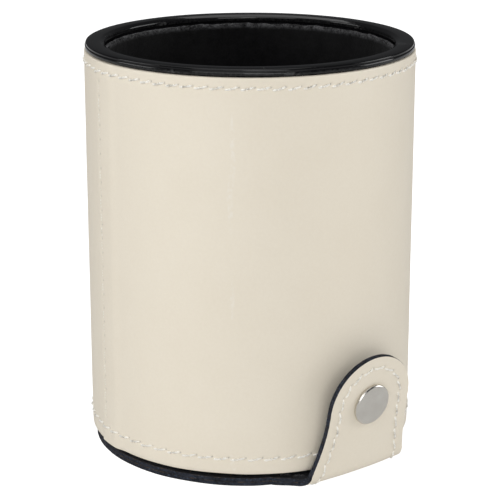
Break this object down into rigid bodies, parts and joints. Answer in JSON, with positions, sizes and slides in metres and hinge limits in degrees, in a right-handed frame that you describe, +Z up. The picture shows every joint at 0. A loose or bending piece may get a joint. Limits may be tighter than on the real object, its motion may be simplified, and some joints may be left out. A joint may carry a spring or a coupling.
{
  "type": "pen cup",
  "caption": "Round leatherette pen cup with a black moulded liner and a hinged base flap that closes a small compartment with a press-snap tab.",
  "frame": {"origin": "centre of the base flap's underside, where the cup rests", "axes": "+Z up along the cup's axis; the snap tab is at the front, towards -Y, and the flap's hinge is at the back, towards +Y; +X to the right seen from the front"},
  "size_m": [0.0802, 0.0877, 0.1],
  "materials": {
    "black_plastic": "gloss",
    "black_felt": "napped",
    "cream_leatherette": "smooth fine grain",
    "black_ply": "raw cut edge",
    "cream_thread": "twisted thread",
    "satin_nickel": "satin"
  },
  "bodies": {
    "cup": {"inner_cup": "black_plastic", "felt_wall": "black_felt", "felt_floor": "black_felt", "wrap_cover": "cream_leatherette", "wrap_backing": "black_ply", "hinge_tongue": "black_ply", "thread_top_hem": "cream_thread", "thread_bottom_hem": "cream_thread", "thread_side_seam": "cream_thread", "snap_stud": "satin_nickel", "snap_post": "satin_nickel"},
    "base_flap": {"flap_cover": "cream_leatherette", "flap_lining": "black_ply", "thread_flap": "cream_thread"},
    "tab": {"tab_cover": "cream_leatherette", "tab_lining": "black_ply", "thread_tab": "cream_thread", "snap_cap": "satin_nickel", "snap_socket": "satin_nickel"}
  },
  "joints": [
    {"name": "flap_hinge", "type": "hinge", "parent": "cup", "child": "base_flap", "pos_m": [0, 0.0382, 0.0011], "axis": [1, 0, 0], "range_deg": [0, 120]},
    {"name": "tab_hinge", "type": "hinge", "parent": "base_flap", "child": "tab", "pos_m": [0, -0.04085, 0.0011], "axis": [1, 0, 0], "range_deg": [0, 100]}
  ]
}
